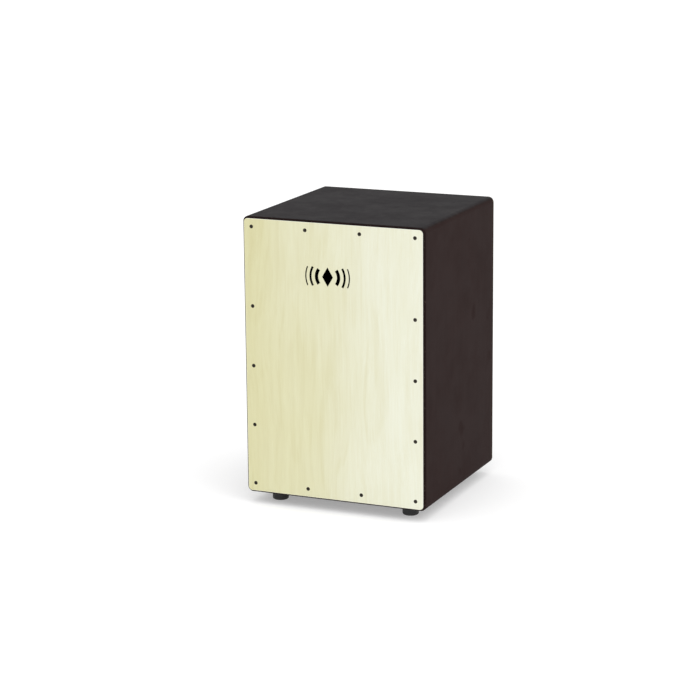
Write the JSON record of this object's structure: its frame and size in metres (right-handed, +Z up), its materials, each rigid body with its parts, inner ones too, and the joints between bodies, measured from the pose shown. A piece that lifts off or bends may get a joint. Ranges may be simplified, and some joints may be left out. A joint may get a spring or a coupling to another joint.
{
  "type": "cajon",
  "caption": "Upright wooden box drum played on its thin pale front plate, with a round sound hole in the back, rubber feet and a tilting snare rail inside.",
  "frame": {"origin": "on the floor, under the middle of the overall box (feet included)", "axes": "+Z up; -Y is the side the playing plate faces; +X is to the right of someone looking at the playing plate"},
  "size_m": [0.3, 0.297, 0.456],
  "materials": {
    "painted_board": "satin dark brown-black lacquer over board",
    "raw_batten": "planed softwood, unfinished",
    "face_veneer": "very pale close-grained veneer, clear satin lacquer",
    "rail_wood": "planed beech, unfinished",
    "black_screw": "black oxide, countersunk",
    "zinc_screw": "zinc plated",
    "foot_rubber": "moulded black rubber",
    "zinc_steel": "zinc plated",
    "clip_steel": "nickel plated strip",
    "snare_wire": "bright coiled wire",
    "fibre": "red-brown pressed fibre"
  },
  "bodies": {
    "shell": {"top_panel": "painted_board", "bottom_panel": "painted_board", "left_side_panel": "painted_board", "right_side_panel": "painted_board", "rear_panel": "painted_board", "front_top_batten": "raw_batten", "front_bottom_batten": "raw_batten", "front_left_batten": "raw_batten", "front_right_batten": "raw_batten", "rear_top_batten": "raw_batten", "rear_bottom_batten": "raw_batten", "rear_left_batten": "raw_batten", "rear_right_batten": "raw_batten", "left_rail_cheek": "raw_batten", "right_rail_cheek": "raw_batten", "front_plate": "face_veneer", "front_plate_screws": "black_screw", "rear_panel_screws": "black_screw", "foot_screws": "zinc_screw", "rail_cheek_screws": "zinc_screw", "front_left_foot": "foot_rubber", "front_right_foot": "foot_rubber", "rear_left_foot": "foot_rubber", "rear_right_foot": "foot_rubber", "foot_washers": "zinc_steel", "pivot_bolts": "zinc_steel", "friction_washers": "fibre"},
    "snare_unit": {"snare_rail": "rail_wood", "left_rail_bracket": "zinc_steel", "right_rail_bracket": "zinc_steel", "rail_bracket_screws": "zinc_screw", "left_snare_clip": "clip_steel", "right_snare_clip": "clip_steel", "snare_clip_screws": "zinc_screw", "left_snare_strands": "snare_wire", "right_snare_strands": "snare_wire", "clamp_washers": "zinc_steel"},
    "left_wing_nut": {"left_wing_nut": "zinc_steel"},
    "right_wing_nut": {"right_wing_nut": "zinc_steel"}
  },
  "joints": [
    {"name": "snare_tilt", "type": "hinge", "parent": "shell", "child": "snare_unit", "pos_m": [0, -0.1095, 0.35], "axis": [-1, 0, 0], "range_deg": [0, 8]},
    {"name": "left_wing_nut_turn", "type": "hinge", "parent": "shell", "child": "left_wing_nut", "pos_m": [-0.1145, -0.1095, 0.35], "axis": [1, 0, 0], "range_deg": [0, 180]},
    {"name": "right_wing_nut_turn", "type": "hinge", "parent": "shell", "child": "right_wing_nut", "pos_m": [0.1145, -0.1095, 0.35], "axis": [-1, 0, 0], "range_deg": [0, 180]}
  ]
}
